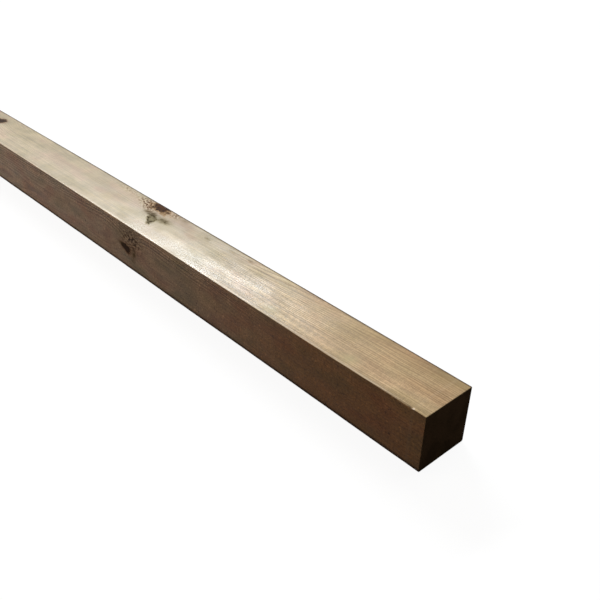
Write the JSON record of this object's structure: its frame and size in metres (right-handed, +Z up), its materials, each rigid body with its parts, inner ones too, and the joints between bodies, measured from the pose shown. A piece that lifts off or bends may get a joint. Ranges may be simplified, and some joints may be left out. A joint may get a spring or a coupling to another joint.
{
  "type": "wooden post",
  "caption": "Square sawn softwood post, pressure treated brown, with eased long arrises and square-cut ends, for fencing and light framing.",
  "frame": {"origin": "centre of the underside, midway between the two sawn ends", "axes": "+X along the post towards the end with the torn arris, +Y across it, +Z up from the face it lies on"},
  "size_m": [1.8, 0.075, 0.075],
  "materials": {
    "treated_wood": "sawn softwood, treated brown, with a dull sheen on the long faces and darker matt end grain"
  },
  "bodies": {
    "root": {"post": "treated_wood"}
  },
  "joints": []
}
